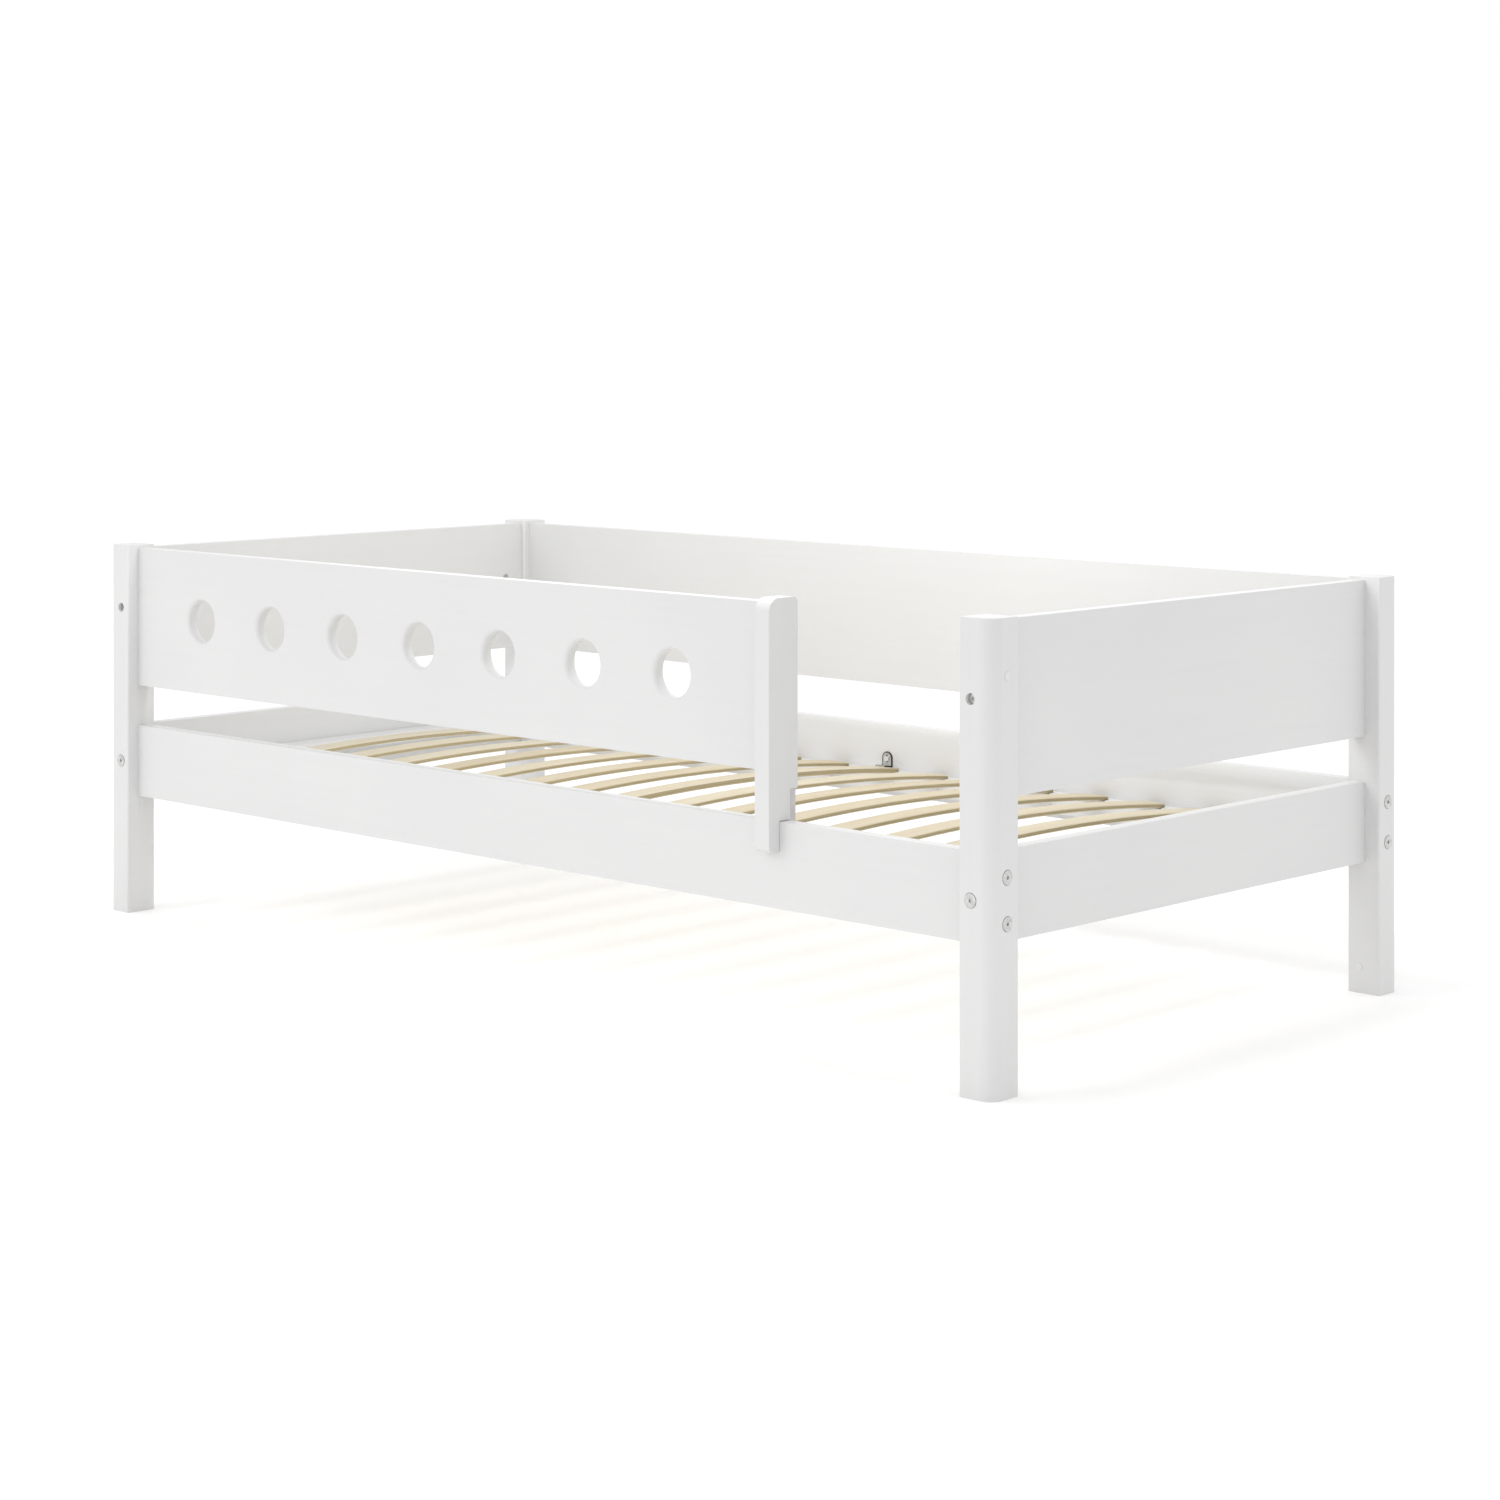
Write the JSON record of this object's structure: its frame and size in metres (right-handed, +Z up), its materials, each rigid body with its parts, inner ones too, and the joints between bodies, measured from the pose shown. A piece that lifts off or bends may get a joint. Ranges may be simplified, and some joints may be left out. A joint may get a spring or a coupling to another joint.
{
  "type": "toddler_bed",
  "caption": "White lacquered wooden toddler bed with a bowed slatted base, closed ends and back, and a guard board with round holes along part of the open front",
  "frame": {"origin": "on the floor, under the middle of the bed", "axes": "+X towards the foot end, -Y towards the open front with the guard board, +Z up"},
  "size_m": [2.0011, 0.997, 0.645],
  "materials": {
    "white_lacquer": "smooth white satin lacquer on board",
    "birch_slat": "pale laminated birch, thinly varnished, with the plies seen along the edges",
    "beech_dowel": "raw fluted beech",
    "zinc_steel": "bright zinc plate",
    "grey_plastic": "light grey moulded plastic",
    "white_plastic": "white moulded plastic"
  },
  "bodies": {
    "root": {"post_front_head": "white_lacquer", "post_front_foot": "white_lacquer", "post_rear_head": "white_lacquer", "post_rear_foot": "white_lacquer", "side_rail_front": "white_lacquer", "side_rail_rear": "white_lacquer", "end_rail_head": "white_lacquer", "end_rail_foot": "white_lacquer", "end_panel_head": "white_lacquer", "end_panel_foot": "white_lacquer", "back_panel": "white_lacquer", "guard_board": "white_lacquer", "guard_stile": "white_lacquer", "ledger_front": "white_lacquer", "ledger_rear": "white_lacquer", "end_bar_head": "white_lacquer", "end_bar_foot": "white_lacquer", "guard_clamp": "grey_plastic", "guard_clamp_screws": "zinc_steel", "ledger_screws": "zinc_steel", "end_bar_screws": "zinc_steel", "slat_bracket_front": "zinc_steel", "slat_bracket_rear": "zinc_steel", "slat_bracket_screws": "zinc_steel", "side_rail_bolts": "zinc_steel", "end_rail_bolts": "zinc_steel", "end_panel_bolts": "zinc_steel", "side_rail_nuts": "zinc_steel", "end_rail_nuts": "zinc_steel", "end_panel_nuts": "zinc_steel", "guard_dowels": "beech_dowel", "end_rail_dowels": "beech_dowel", "end_panel_dowels": "beech_dowel", "back_panel_dowels": "beech_dowel", "hole_caps": "white_plastic", "slat_01": "birch_slat", "slat_02": "birch_slat", "slat_03": "birch_slat", "slat_04": "birch_slat", "slat_05": "birch_slat", "slat_06": "birch_slat", "slat_07": "birch_slat", "slat_08": "birch_slat", "slat_09": "birch_slat", "slat_10": "birch_slat", "slat_11": "birch_slat", "slat_12": "birch_slat", "slat_13": "birch_slat", "slat_14": "birch_slat", "slat_15": "birch_slat"}
  },
  "joints": []
}
